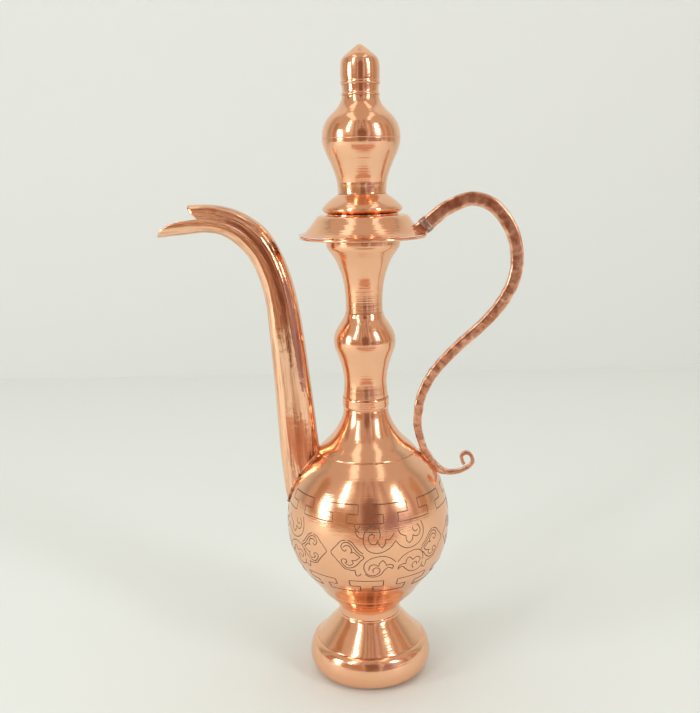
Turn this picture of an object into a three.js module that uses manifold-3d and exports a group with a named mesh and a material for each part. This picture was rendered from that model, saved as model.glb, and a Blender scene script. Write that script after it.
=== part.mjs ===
// A covered copper ewer: ring foot, round belly, knopped neck, saucer rim, lift-off lid, beaked spout and a
// hammered bar handle. Millimetres, +Z up, origin on the axis where the foot stands. The spout points to -X.
import * as THREE from 'three';
import { mergeVertices } from 'three/addons/utils/BufferGeometryUtils.js';
import Module from 'manifold-3d';

const wasm = await Module();
wasm.setup();

// ---- Driving dimensions -------------------------------------------------------------------------------------
const SHEET = 1.0; // thickness of the copper sheet
const GAP = 0.3; // space left between two soldered pieces
const SIDES = 24; // flats around a turned piece

const BASE_RADIUS = 25.5; // where the foot touches the table
const RING_RADIUS = 32.1;
const RING_HEIGHT = 17.6;
const CREASE_RADIUS = 28.0; // between the ring and the cone of the foot
const FOOT_HEIGHT = 32.0;
const STEM_RADIUS = 16.3;
const BELLY_RADIUS = 42.1;
const BELLY_HEIGHT = 89.0;
const SEAM_RADIUS = 25.4; // where the belly meets the shoulder
const SHOULDER_HEIGHT = 22.0;
const NECK_RADIUS = 11.4;
const COLLAR_HEIGHT = 6.4;
const COLLAR_RADIUS = 11.8;
const KNOP_HEIGHT = 43.2;
const KNOP_RADIUS = 15.6;
const THROAT_RADIUS = 9.3; // the narrowest place of the neck
const CUP_HEIGHT = 46.8;
const CUP_RADIUS = 18.5;
const CUP_BAND = 15.1; // the upright band at the top of the cup
const SAUCER_RADIUS = 31.7;
const SAUCER_DROP = 9.8; // from the saucer's seat down to its edge
const SEAT_WIDTH = 2.4; // the flat inner ring of the saucer, which the lid rests on
const BEAD_RADIUS = 0.7;
const LID_SEAT_GAP = 0.5; // the dark line under the lid
const LID_OVERHANG = 1.3; // the lid's flange reaches this far past the cup
const LID_FLANGE_HEIGHT = 9.6;
const LID_NECK_RADIUS = 11.9;
const LID_BULB_RADIUS = 19.0;
const LID_CUP_HEIGHT = 26.0;
const LID_DOME_HEIGHT = 19.8;
const FINIAL_RADIUS = 9.5;
const COLLAR_BAND_HEIGHT = 5.0;
const FINIAL_HEIGHT = 18.4;
const SLEEVE_CLEARANCE = 0.6; // between the lid's sleeve and the inside of the cup
const SLEEVE_DEPTH = 11.0;
const SPOUT_DEPTH = 17.0; // across the spout at its root, along Y
const MOUTH_DEPTH = 13.0;
const SPOUT_WALL = 1.0;
const BAR_TOP = 7.6; // in-plane thickness of the handle bar at the saucer
const BAR_LOW = 5.2; // the same beside the belly
const BAR_TIP = 2.0; // the same in the scroll
const BAR_DEPTH = 5.2; // along Y at the top
const LOW_DEPTH = 4.6; // along Y beside the belly
const TIP_DEPTH = 3.0; // along Y in the scroll
const SOLDER = 1.3; // how far a solder bead stands out

// ---- Levels along the axis ----------------------------------------------------------------------------------
const bellyTop = FOOT_HEIGHT + BELLY_HEIGHT;
const shoulderTop = bellyTop + SHOULDER_HEIGHT;
const collarTop = shoulderTop + COLLAR_HEIGHT;
const knopTop = collarTop + KNOP_HEIGHT;
const cupTop = knopTop + CUP_HEIGHT;
const seatTop = cupTop + GAP + SHEET;
const saucerEdge = seatTop - SAUCER_DROP;
const lidBottom = seatTop + LID_SEAT_GAP;
const flangeTop = lidBottom + LID_FLANGE_HEIGHT;
const lidCupTop = flangeTop + LID_CUP_HEIGHT;
const domeTop = lidCupTop + LID_DOME_HEIGHT;
const bandTop = domeTop + COLLAR_BAND_HEIGHT;

// ---- Shape helpers ------------------------------------------------------------------------------------------
const mix = THREE.MathUtils.lerp;

// Points of a smooth curve through a few [x, y] pairs.
function smooth(pairs, steps) {
  const points = pairs.map(([x, y]) => new THREE.Vector2(x, y));
  return new THREE.SplineCurve(points).getPoints(steps);
}

// Straight runs between [x, y] pairs.
function straight(pairs) {
  return pairs.map(([x, y]) => new THREE.Vector2(x, y));
}

// A piece turned around Z from an outline in [radius, height].
function turn(points) {
  return new THREE.LatheGeometry(points, SIDES).rotateX(Math.PI / 2);
}

// The same outline moved sideways by a distance, to the left of its direction.
function offset(points, distance) {
  return points.map((point, i) => {
    const before = points[Math.max(i - 1, 0)];
    const after = points[Math.min(i + 1, points.length - 1)];
    const along = after.clone().sub(before).normalize();
    return new THREE.Vector2(point.x - along.y * distance, point.y + along.x * distance);
  });
}

// A turned shell: an outside outline, given from the bottom up, and the same outline one sheet further in.
function shell(outside, wall = SHEET) {
  const inside = offset(outside, wall).reverse();
  const low = outside[0].y;
  const high = outside[outside.length - 1].y;
  for (const point of inside) point.y = THREE.MathUtils.clamp(point.y, low, high);
  return turn([...outside, ...inside, outside[0].clone()]);
}

// A solid or ring turned from an outline that starts and ends on the axis or closes on itself.
function turned(pairs) {
  return turn(straight(pairs));
}

// A solder or wire ring with a five-sided section.
function beadRing(radius, height, thickness) {
  const flats = 5;
  const section = [];
  for (let i = 0; i <= flats; i += 1) {
    const angle = (i % flats) * 2 * Math.PI / flats;
    section.push([radius + thickness * Math.cos(angle), height + thickness * Math.sin(angle)]);
  }
  return turned(section);
}

// A closed skin over a row of rings that all have the same number of points.
function loft(rings) {
  const count = rings[0].length;
  const positions = [];
  const index = [];
  for (const ring of rings) {
    for (const point of ring) positions.push(point.x, point.y, point.z);
  }
  for (let r = 0; r < rings.length - 1; r += 1) {
    for (let i = 0; i < count; i += 1) {
      const a = r * count + i;
      const b = r * count + (i + 1) % count;
      index.push(a, b, b + count, a, b + count, a + count);
    }
  }
  const last = (rings.length - 1) * count;
  for (let i = 1; i < count - 1; i += 1) {
    index.push(0, i + 1, i);
    index.push(last, last + i, last + i + 1);
  }
  const geometry = new THREE.BufferGeometry();
  geometry.setAttribute('position', new THREE.Float32BufferAttribute(positions, 3));
  geometry.setIndex(index);
  return geometry;
}

// An eight-sided ring around a middle point: half width along a direction in the XZ plane, half depth along Y.
// corner is how much of each half stays flat before the corners are cut.
function ringAround(middle, across, halfWidth, halfDepth, corner) {
  const outline = [
    [1, -corner], [1, corner], [corner, 1], [-corner, 1],
    [-1, corner], [-1, -corner], [-corner, -1], [corner, -1],
  ];
  return outline.map(([u, v]) => new THREE.Vector3(
    middle.x + across.x * halfWidth * u,
    halfDepth * v,
    middle.y + across.y * halfWidth * u,
  ));
}

// ---- Booleans -----------------------------------------------------------------------------------------------
function toSolid(geometry) {
  const plain = geometry.clone();
  plain.deleteAttribute('normal');
  plain.deleteAttribute('uv');
  const merged = mergeVertices(plain, 1e-4);
  return new wasm.Manifold(new wasm.Mesh({
    numProp: 3,
    vertProperties: new Float32Array(merged.getAttribute('position').array),
    triVerts: new Uint32Array(merged.getIndex().array),
  }));
}

function toGeometry(solid) {
  const mesh = solid.getMesh();
  const geometry = new THREE.BufferGeometry();
  geometry.setAttribute('position', new THREE.Float32BufferAttribute(mesh.vertProperties, 3));
  geometry.setIndex(new THREE.BufferAttribute(mesh.triVerts, 1));
  return geometry;
}

// ---- The belly's outside, which the spout and the handle are fitted to ---------------------------------------
// Each half is a list of [share of its height, share of the way out to the widest place].
const WIDEST = 0.595; // height of the widest place, as a share of the belly
const bellyLower = [
  [0, 0], [0.09, 0.065], [0.21, 0.235], [0.34, 0.43], [0.49, 0.675], [0.64, 0.872], [0.8, 0.969],
];
const bellyUpper = [[0, 1], [0.27, 0.934], [0.54, 0.754], [0.78, 0.43], [1, 0]];
const widestLevel = FOOT_HEIGHT + BELLY_HEIGHT * WIDEST;

function bellyOutline(grow = 0) {
  const lower = bellyLower.map(([up, out]) => [
    mix(STEM_RADIUS, BELLY_RADIUS, out),
    mix(FOOT_HEIGHT + GAP, widestLevel, up),
  ]);
  const upper = bellyUpper.map(([up, out]) => [
    mix(SEAM_RADIUS, BELLY_RADIUS, out),
    mix(widestLevel, bellyTop - GAP, up),
  ]);
  return offset(smooth([...lower, ...upper], 11), -grow);
}

// The belly's radius at a height.
function bellyRadiusAt(height) {
  const outline = bellyOutline();
  const upper = outline.findIndex((point) => point.y >= height);
  const above = outline[Math.max(upper, 1)];
  const below = outline[Math.max(upper, 1) - 1];
  return mix(below.x, above.x, (height - below.y) / (above.y - below.y));
}

// The belly and shoulder as one full solid, larger by a margin all round.
function bodyBlock(grow) {
  const outside = [...bellyOutline(grow), ...offset(shoulderOutline(), -grow)];
  const low = outside[0].y - grow;
  const high = outside[outside.length - 1].y;
  const points = [new THREE.Vector2(0, low), ...outside, new THREE.Vector2(0, high)];
  return toSolid(turn(points));
}

// ---- Foot ---------------------------------------------------------------------------------------------------
function footRing() {
  const outside = smooth([
    [BASE_RADIUS, 0],
    [mix(BASE_RADIUS, RING_RADIUS, 0.72), RING_HEIGHT * 0.15],
    [RING_RADIUS, RING_HEIGHT * 0.4],
    [mix(CREASE_RADIUS, RING_RADIUS, 0.85), RING_HEIGHT * 0.72],
    [CREASE_RADIUS, RING_HEIGHT],
  ], 6);
  return shell(outside);
}

function footBasePlate() {
  const radius = BASE_RADIUS - SHEET - GAP;
  return turned([[0, 0], [radius, 0], [radius, SHEET], [0, SHEET]]);
}

function footCone() {
  return shell(smooth([
    [CREASE_RADIUS, RING_HEIGHT + GAP],
    [mix(CREASE_RADIUS, STEM_RADIUS, 0.45), mix(RING_HEIGHT, FOOT_HEIGHT, 0.46)],
    [STEM_RADIUS + 0.4, FOOT_HEIGHT - 2.0],
    [STEM_RADIUS, FOOT_HEIGHT - GAP],
  ], 4));
}

function footSolder() {
  return beadRing(STEM_RADIUS + GAP + BEAD_RADIUS, FOOT_HEIGHT, BEAD_RADIUS);
}

// ---- Belly and shoulder -------------------------------------------------------------------------------------
function bellyBowl() {
  const outside = bellyOutline();
  const inside = offset(outside, SHEET).reverse();
  for (const point of inside) point.y = Math.min(point.y, bellyTop - GAP);
  const floor = outside[0].y;
  const points = [
    new THREE.Vector2(0, floor),
    ...outside,
    ...inside.slice(0, -1),
    new THREE.Vector2(0, floor + SHEET),
  ];
  const bowl = toSolid(turn(points));
  return toGeometry(bowl.subtract(spoutPassage()));
}

function shoulderOutline() {
  const bottom = bellyTop + GAP;
  const top = shoulderTop - GAP;
  return smooth([
    [SEAM_RADIUS, bottom],
    [mix(NECK_RADIUS, SEAM_RADIUS, 0.59), mix(bottom, top, 0.27)],
    [mix(NECK_RADIUS, SEAM_RADIUS, 0.25), mix(bottom, top, 0.56)],
    [mix(NECK_RADIUS, SEAM_RADIUS, 0.05), mix(bottom, top, 0.86)],
    [NECK_RADIUS, top],
  ], 5);
}

// The ring of solder on the seam, larger by a margin.
function seamRing(grow) {
  return toSolid(beadRing(SEAM_RADIUS + GAP + BEAD_RADIUS, bellyTop, BEAD_RADIUS + grow));
}

// It stops on both sides of the spout's own solder.
function shoulderSolder() {
  return toGeometry(seamRing(0).subtract(spoutLoft(-SOLDER - 2 * GAP, SPOUT_STEPS)));
}

// ---- Neck ---------------------------------------------------------------------------------------------------
function neckCollar() {
  return shell(straight([
    [NECK_RADIUS, shoulderTop],
    [COLLAR_RADIUS, shoulderTop + COLLAR_HEIGHT * 0.3],
    [COLLAR_RADIUS, shoulderTop + COLLAR_HEIGHT - GAP],
  ]), SHEET * 1.3);
}

function neckKnop() {
  const level = (share) => mix(collarTop, knopTop - GAP, share);
  return shell(smooth([
    [NECK_RADIUS, level(0)],
    [NECK_RADIUS - 0.5, level(0.17)],
    [NECK_RADIUS, level(0.29)],
    [mix(NECK_RADIUS, KNOP_RADIUS, 0.35), level(0.44)],
    [mix(NECK_RADIUS, KNOP_RADIUS, 0.88), level(0.58)],
    [KNOP_RADIUS, level(0.68)],
    [mix(THROAT_RADIUS, KNOP_RADIUS, 0.78), level(0.79)],
    [mix(THROAT_RADIUS, KNOP_RADIUS, 0.49), level(0.865)],
    [mix(THROAT_RADIUS, KNOP_RADIUS, 0.16), level(0.94)],
    [THROAT_RADIUS, level(1)],
  ], 12));
}

function cupOutline() {
  const bandBottom = cupTop - CUP_BAND;
  const level = (share) => mix(knopTop, bandBottom, share);
  const flare = smooth([
    [THROAT_RADIUS, level(0)],
    [THROAT_RADIUS, level(0.2)],
    [mix(THROAT_RADIUS, CUP_RADIUS, 0.1), level(0.5)],
    [mix(THROAT_RADIUS, CUP_RADIUS, 0.315), level(0.7)],
    [mix(THROAT_RADIUS, CUP_RADIUS, 0.587), level(0.86)],
    [mix(THROAT_RADIUS, CUP_RADIUS, 0.9), level(1)],
  ], 7);
  return [...flare, ...straight([[CUP_RADIUS - 0.4, bandBottom + 0.6], [CUP_RADIUS, cupTop]])];
}

function rimSaucer() {
  const inner = CUP_RADIUS - SHEET;
  const seatOuter = CUP_RADIUS + SEAT_WIDTH;
  const slope = smooth([
    [SAUCER_RADIUS, saucerEdge],
    [mix(SAUCER_RADIUS, seatOuter, 0.35), mix(saucerEdge, seatTop, 0.24)],
    [mix(SAUCER_RADIUS, seatOuter, 0.75), mix(saucerEdge, seatTop, 0.68)],
    [seatOuter, seatTop],
  ], 4);
  const under = offset(slope, SHEET).reverse();
  under[under.length - 1].y = saucerEdge;
  under[0].set(seatOuter, seatTop - SHEET);
  const points = [...slope, new THREE.Vector2(inner, seatTop), new THREE.Vector2(inner, seatTop - SHEET)];
  return turn([...points, ...under, slope[0].clone()]);
}

function rimBead() {
  return beadRing(SAUCER_RADIUS - BEAD_RADIUS - 0.4, saucerEdge - GAP - BEAD_RADIUS, BEAD_RADIUS);
}

// ---- Lid ----------------------------------------------------------------------------------------------------
function lidFlange() {
  const edge = CUP_RADIUS + LID_OVERHANG;
  const level = (share) => mix(lidBottom, flangeTop - GAP, share);
  return shell(straight([
    [CUP_RADIUS, level(0)],
    [edge, level(0.18)],
    [edge - 0.3, level(0.33)],
    [mix(LID_NECK_RADIUS, edge, 0.53), level(0.73)],
    [LID_NECK_RADIUS + 0.6, level(0.92)],
    [LID_NECK_RADIUS, level(1)],
  ]));
}

function lidSleeve() {
  const outer = CUP_RADIUS - SHEET - SLEEVE_CLEARANCE;
  const top = lidBottom + 1.5;
  return turned([
    [outer - SHEET, lidBottom - SLEEVE_DEPTH],
    [outer, lidBottom - SLEEVE_DEPTH],
    [outer, top],
    [outer - SHEET, top],
    [outer - SHEET, lidBottom - SLEEVE_DEPTH],
  ]);
}

function lidCup() {
  const level = (share) => mix(flangeTop, lidCupTop - GAP, share);
  return shell(smooth([
    [LID_NECK_RADIUS, level(0)],
    [LID_NECK_RADIUS + 0.3, level(0.24)],
    [mix(LID_NECK_RADIUS, LID_BULB_RADIUS, 0.36), level(0.48)],
    [mix(LID_NECK_RADIUS, LID_BULB_RADIUS, 0.72), level(0.7)],
    [LID_BULB_RADIUS - 0.2, level(0.93)],
    [LID_BULB_RADIUS, level(1)],
  ], 6));
}

function lidDome() {
  const level = (share) => mix(lidCupTop, domeTop - GAP, share);
  return shell(smooth([
    [LID_BULB_RADIUS, level(0)],
    [LID_BULB_RADIUS - 0.3, level(0.17)],
    [mix(FINIAL_RADIUS, LID_BULB_RADIUS, 0.73), level(0.45)],
    [mix(FINIAL_RADIUS, LID_BULB_RADIUS, 0.4), level(0.6)],
    [mix(FINIAL_RADIUS, LID_BULB_RADIUS, 0.12), level(0.76)],
    [FINIAL_RADIUS - 0.4, level(1)],
  ], 7));
}

function finialCollar() {
  return shell(straight([
    [FINIAL_RADIUS - 0.4, domeTop],
    [FINIAL_RADIUS - 0.2, domeTop + COLLAR_BAND_HEIGHT - GAP],
  ]), SHEET * 1.3);
}

function finialCap() {
  const level = (share) => mix(bandTop, bandTop + FINIAL_HEIGHT, share);
  const outside = smooth([
    [FINIAL_RADIUS, level(0)],
    [FINIAL_RADIUS, level(0.34)],
    [FINIAL_RADIUS - 0.25, level(0.56)],
    [FINIAL_RADIUS - 2.2, level(0.707)],
    [FINIAL_RADIUS * 0.44, level(0.853)],
    [0, level(1)],
  ], 8);
  const inside = offset(outside, SHEET).reverse();
  inside[0].set(0, level(1) - 2 * SHEET);
  inside[inside.length - 1].y = bandTop;
  return turn([...inside, ...outside]);
}

// ---- Spout --------------------------------------------------------------------------------------------------
// The two edges in the XZ plane: front is the outside of the root and the inside of the bend.
// Distances are from the belly's axis, so a wider belly carries the spout further out.
const spoutRoot = bellyTop - 0.3 * BELLY_HEIGHT; // where the front edge leaves the belly
const spoutOut = bellyRadiusAt(spoutRoot);
const SPOUT_STEPS = 28;
const spoutFront = [
  [1.5, -8], [-1.5, 1], [-3.0, 13], [-4.1, 26], [-5.0, 46], [-6.0, 66], [-7.1, 84], [-8.2, 101],
  [-10.6, 113.5], [-15.4, 125.3], [-21.7, 132.6], [-28.7, 137.3], [-36.7, 138.8], [-46.0, 137.9], [-60.5, 136.5],
];
const spoutBack = [
  [20.0, 14], [18.6, 20], [17.4, 26], [16.4, 34], [14.8, 51], [12.9, 68], [10.8, 87], [8.3, 104],
  [5.2, 117], [0.5, 129.5], [-5.5, 139.5], [-13.5, 146.3], [-23.0, 150.9], [-36.0, 153.3], [-60.5, 152.0],
];

function spoutEdge(pairs) {
  return pairs.map(([out, up]) => [-spoutOut + out, spoutRoot + up]);
}

function spoutLoft(shrink, steps) {
  const front = smooth(spoutEdge(spoutFront), steps);
  const back = smooth(spoutEdge(spoutBack), steps);
  const rings = front.map((point, i) => {
    const across = back[i].clone().sub(point);
    const halfWidth = across.length() / 2 - shrink;
    const halfDepth = mix(SPOUT_DEPTH, MOUTH_DEPTH, i / steps) / 2 - shrink;
    const middle = point.clone().add(back[i]).multiplyScalar(0.5);
    return ringAround(middle, across.normalize(), halfWidth, halfDepth, 0.45);
  });
  return toSolid(loft(rings));
}

// The side outline of what is cut away to split the beak into an upper and a longer lower lip.
function beakCut() {
  const notch = [-36.9, 144.9];
  const lowerLip = [[-39.4, 145.0], [-42.5, 144.5], [-48.4, 143.6], [-51.6, 142.4], [-55.3, 140.8], [-60.3, 136.6]];
  const upperLip = [[-42.2, 152.5], [-42.5, 170.0]];
  const beyond = [[-80.0, 170.0], [-80.0, 120.0], [-60.4, 120.0]];
  const outline = spoutEdge([notch, ...upperLip, ...beyond, ...lowerLip.reverse()]);
  const shape = new THREE.Shape(straight(outline));
  const geometry = new THREE.ExtrudeGeometry(shape, { depth: 2 * SPOUT_DEPTH, bevelEnabled: false });
  geometry.translate(0, 0, -SPOUT_DEPTH);
  geometry.rotateX(Math.PI / 2);
  return toSolid(geometry);
}

function spoutPassage() {
  return spoutLoft(SPOUT_WALL + GAP, SPOUT_STEPS);
}

function spoutTube() {
  const walls = spoutLoft(0, SPOUT_STEPS).subtract(spoutLoft(SPOUT_WALL, SPOUT_STEPS));
  return toGeometry(walls.subtract(bodyBlock(GAP)).subtract(beakCut()));
}

function spoutSolder() {
  const bead = spoutLoft(-SOLDER - GAP, SPOUT_STEPS).intersect(bodyBlock(SOLDER + GAP));
  return toGeometry(bead.subtract(bodyBlock(GAP)).subtract(spoutLoft(-GAP, SPOUT_STEPS)));
}

// ---- Handle -------------------------------------------------------------------------------------------------
// The bar runs from the saucer's edge over an arch, down beside the neck, along the belly and into a scroll.
const barTop = new THREE.Vector2(SAUCER_RADIUS - 2.4, saucerEdge + 2.4);
const barFoot = new THREE.Vector2(bellyRadiusAt(bellyTop - 2.1) + 1.9, bellyTop - 0.8);

// Arch and limb: [share of the way up from the foot to the top, distance out, distance up].
const arch = [
  [1, -5, -3], [1, 3.6, 3.4], [1, 12, 9.8], [1, 23.7, 13.9], [1, 34.2, 10.5], [1, 42.2, 0.7],
  [0.909, 45.9, 0], [0.794, 45.6, 0], [0.685, 40.2, 0], [0.579, 30.3, 0], [0.472, 16.8, 0],
  [0.363, 5.5, 0], [0.255, -1, 0], [0.141, -3.2, 0], [0.084, -2.5, 0],
];
// Along the belly, then round the scroll: distances from the foot of the limb.
const alongBelly = [[0, 0], [2.4, -3.9], [6.0, -8.5], [9.9, -11.5]];
const scroll = [
  [13.9, -12.4], [18.9, -11.7], [23.2, -9.5], [25.2, -6.8], [24.2, -3.2], [21.6, -2.1], [19.5, -3.7],
  [19.9, -6.4], [20.8, -8.2],
];
const bellyStart = arch.length;
const scrollStart = arch.length + alongBelly.length + 1;
const barEnd = arch.length + alongBelly.length + scroll.length - 1;

function barPath() {
  const upper = arch.map(([share, out, up]) => [
    mix(barFoot.x, barTop.x, share) + out,
    mix(barFoot.y, barTop.y, share) + up,
  ]);
  const lower = [...alongBelly, ...scroll].map(([out, up]) => [barFoot.x + out, barFoot.y + up]);
  return new THREE.SplineCurve(straight([...upper, ...lower]));
}

// Half thickness and half depth at a place, counted in path points from the top.
function barHalves(place) {
  const limb = Math.min(place / bellyStart, 1);
  const tail = THREE.MathUtils.smoothstep(place, bellyStart, scrollStart + 1);
  const thickness = mix(mix(BAR_TOP, BAR_LOW, limb), BAR_TIP, tail);
  const depth = mix(mix(BAR_DEPTH, LOW_DEPTH, limb), TIP_DEPTH, tail);
  return [thickness / 2, depth / 2];
}

// The bar between two places, larger by a margin.
function barLoft(grow, from = 0, to = barEnd) {
  const path = barPath();
  const steps = Math.ceil((to - from) * 2.5);
  const rings = [];
  for (let i = 0; i <= steps; i += 1) {
    const place = mix(from, to, i / steps);
    const middle = path.getPoint(place / barEnd);
    const along = path.getTangent(place / barEnd);
    const across = new THREE.Vector2(along.y, -along.x);
    const [halfWidth, halfDepth] = barHalves(place);
    rings.push(ringAround(middle, across, halfWidth + grow, halfDepth + grow, 0.72));
  }
  return toSolid(loft(rings));
}

// The saucer's outer slope as a full solid, larger by a margin, for cutting the bar's end.
function saucerBlock(grow) {
  const seatOuter = CUP_RADIUS + SEAT_WIDTH;
  const bottom = saucerEdge - 2 * BAR_TOP;
  return toSolid(turned([
    [0, bottom],
    [SAUCER_RADIUS + grow, bottom],
    [SAUCER_RADIUS + grow, saucerEdge + grow],
    [mix(SAUCER_RADIUS, seatOuter, 0.35) + grow, mix(saucerEdge, seatTop, 0.24) + grow * 1.5],
    [seatOuter + grow, seatTop + grow],
    [0, seatTop + grow],
  ]));
}

function handleBar() {
  const bar = barLoft(0).subtract(saucerBlock(GAP)).subtract(bodyBlock(GAP));
  return toGeometry(bar.subtract(seamRing(GAP)));
}

function handleTopSolder() {
  const bead = barLoft(GAP + SOLDER * 0.5, 0, 2).intersect(saucerBlock(GAP + SOLDER));
  return toGeometry(bead.subtract(saucerBlock(GAP)).subtract(barLoft(GAP, 0, 2.4)));
}

function handleBellySolder() {
  const low = bellyStart + 3;
  const bead = barLoft(GAP + SOLDER * 0.5, bellyStart - 0.4, low).intersect(bodyBlock(GAP + SOLDER * 1.5));
  const clear = bead.subtract(bodyBlock(GAP)).subtract(barLoft(GAP, bellyStart - 1, low + 1));
  return toGeometry(clear.subtract(seamRing(GAP)));
}

// ---- The ewer -----------------------------------------------------------------------------------------------
const copper = { color: 0xc08058, metalness: 1.0, roughness: 0.18 };
const brightCopper = { color: 0xd39468, metalness: 1.0, roughness: 0.14 };
const barCopper = { color: 0x9c6a4c, metalness: 1.0, roughness: 0.35 };
const greySolder = { color: 0x77736d, metalness: 0.9, roughness: 0.5 };
const darkSolder = { color: 0x3a302a, metalness: 0.8, roughness: 0.6 };

function piece(name, geometry, finish) {
  const mesh = new THREE.Mesh(geometry, new THREE.MeshStandardMaterial(finish));
  mesh.name = name;
  return mesh;
}

const ewer = new THREE.Group();
ewer.name = 'ewer';
ewer.add(
  piece('foot_ring', footRing(), copper),
  piece('foot_base_plate', footBasePlate(), copper),
  piece('foot_cone', footCone(), copper),
  piece('foot_solder', footSolder(), greySolder),
  piece('belly_bowl', bellyBowl(), copper),
  piece('shoulder_solder', shoulderSolder(), darkSolder),
  piece('shoulder', shell(shoulderOutline()), copper),
  piece('neck_collar', neckCollar(), copper),
  piece('neck_knop', neckKnop(), brightCopper),
  piece('neck_cup', shell(cupOutline()), brightCopper),
  piece('rim_saucer', rimSaucer(), brightCopper),
  piece('rim_bead', rimBead(), copper),
  piece('spout_tube', spoutTube(), brightCopper),
  piece('spout_solder', spoutSolder(), greySolder),
  piece('handle_bar', handleBar(), barCopper),
  piece('handle_top_solder', handleTopSolder(), greySolder),
  piece('handle_belly_solder', handleBellySolder(), darkSolder),
);

const lid = new THREE.Group();
lid.name = 'lid';
lid.add(
  piece('lid_flange', lidFlange(), brightCopper),
  piece('lid_sleeve', lidSleeve(), copper),
  piece('lid_cup', lidCup(), copper),
  piece('lid_dome', lidDome(), copper),
  piece('finial_collar', finialCollar(), copper),
  piece('finial_cap', finialCap(), copper),
);
ewer.add(lid);

export default ewer;
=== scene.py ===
"""The covered copper ewer: spun and raised copper skins, the engraved belly band, the hand-drawn spout,
the hammered handle bar and the soldered joints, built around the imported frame."""

import math
import random

import bpy
import numpy as np
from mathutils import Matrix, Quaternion, Vector, noise


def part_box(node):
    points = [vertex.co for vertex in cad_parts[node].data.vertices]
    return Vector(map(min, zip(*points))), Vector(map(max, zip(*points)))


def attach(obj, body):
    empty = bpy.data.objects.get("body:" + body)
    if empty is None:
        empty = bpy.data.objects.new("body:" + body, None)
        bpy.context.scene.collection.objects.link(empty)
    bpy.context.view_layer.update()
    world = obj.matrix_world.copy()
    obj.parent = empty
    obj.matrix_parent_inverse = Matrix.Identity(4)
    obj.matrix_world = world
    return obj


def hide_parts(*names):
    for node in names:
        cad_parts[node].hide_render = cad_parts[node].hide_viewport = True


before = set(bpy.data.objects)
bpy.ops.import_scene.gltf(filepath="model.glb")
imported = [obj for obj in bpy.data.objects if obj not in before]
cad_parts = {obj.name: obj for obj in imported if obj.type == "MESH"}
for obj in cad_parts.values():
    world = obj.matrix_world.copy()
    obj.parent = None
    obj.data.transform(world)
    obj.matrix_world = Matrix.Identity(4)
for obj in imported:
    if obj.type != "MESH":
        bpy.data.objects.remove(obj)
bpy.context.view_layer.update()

MM = 0.001
TURN = 2 * math.pi
AROUND = 224  # steps round a turned skin
SHEET = 1.0  # copper sheet, in millimetres
JOINT_GAP = 0.28  # how far a piece is raised to close its joint


# ---- Places from the frame, in millimetres -------------------------------------------------------
def reach(node):
    """Bottom, top and radius of a turned node."""
    low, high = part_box(node)
    return low.z / MM, high.z / MM, high.y / MM


# ---- Curves --------------------------------------------------------------------------------------
def smooth_line(points, step):
    """A smooth line through points, with a point about every step along it."""
    points = np.array(points, float)
    ends = np.vstack([2 * points[0] - points[1], points, 2 * points[-1] - points[-2]])
    line = []
    for before, start, end, after in zip(ends, ends[1:], ends[2:], ends[3:]):
        count = max(2, int(np.linalg.norm(end - start) / step))
        t = (np.arange(count) / count)[:, None]
        chord = np.sqrt(np.linalg.norm(end - start))
        first = np.sqrt(np.linalg.norm(start - before)) + 1e-9
        last = np.sqrt(np.linalg.norm(after - end)) + 1e-9
        leave = (start - before) / first - (end - before) / (first + chord) + (end - start) / chord
        arrive = (end - start) / chord - (after - start) / (chord + last) + (after - end) / last
        leave, arrive = leave * chord, arrive * chord
        line.append(
            start + leave * t
            + (3 * (end - start) - 2 * leave - arrive) * t ** 2
            + (2 * (start - end) + leave + arrive) * t ** 3
        )
    line.append(points[-1:])
    return np.vstack(line)


def spread(line, step):
    """The same line with its points spread evenly."""
    gaps = np.linalg.norm(np.diff(line, axis=0), axis=1)
    along = np.concatenate([[0], np.cumsum(gaps)])
    count = max(2, int(round(along[-1] / step)))
    at = np.linspace(0, along[-1], count + 1)
    return np.stack([np.interp(at, along, line[:, axis]) for axis in range(line.shape[1])], axis=1)


def normals_of(line):
    """Sideways directions, to the right of a line in [radius, height]: outwards where it runs up."""
    along = np.gradient(line, axis=0)
    along /= np.linalg.norm(along, axis=1)[:, None] + 1e-12
    return np.stack([along[:, 1], -along[:, 0]], axis=1)


def sheet_edge(face, other, ease=0.12):
    """The cut edge of a sheet, from the last corner of one face to the first of the other."""
    arm = (other - face) / np.linalg.norm(other - face)
    ahead = np.array([arm[1], -arm[0]])
    return np.array([
        face - ahead * ease * 1.6, face - ahead * ease * 0.3 + arm * ease * 0.3, face + arm * ease,
        other - arm * ease, other - ahead * ease,
    ])


def sample_line(points, at):
    """Smooth values through points, at places counted in points."""
    points = np.array(points, float)
    ends = np.vstack([2 * points[0] - points[1], points, 2 * points[-1] - points[-2]])
    start = np.clip(at.astype(int), 0, len(points) - 2)
    t = (at - start)[:, None]
    a, b, c, d = ends[start], ends[start + 1], ends[start + 2], ends[start + 3]
    bend = 2 * a - 5 * b + 4 * c - d
    return 0.5 * (2 * b + (c - a) * t + bend * t ** 2 + (3 * b - a - 3 * c + d) * t ** 3)


# ---- Meshes --------------------------------------------------------------------------------------
def mesh_piece(name, corners, faces, material):
    """An object from corners in millimetres."""
    mesh = bpy.data.meshes.new(name)
    mesh.from_pydata((np.asarray(corners) * MM).tolist(), [], faces)
    mesh.polygons.foreach_set("use_smooth", [True] * len(mesh.polygons))
    mesh.materials.append(material)
    piece = bpy.data.objects.new(name, mesh)
    bpy.context.scene.collection.objects.link(piece)
    return piece


def grid_faces(rows, columns, close_rows=False, flip=False):
    """Four-sided faces over a grid of corners, row after row. Each row closes on itself."""
    faces = []
    for i in range(rows if close_rows else rows - 1):
        below, above = i * columns, ((i + 1) % rows) * columns
        for j in range(columns):
            k = (j + 1) % columns
            face = (below + j, below + k, above + k, above + j)
            faces.append(face[::-1] if flip else face)
    return faces


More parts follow.
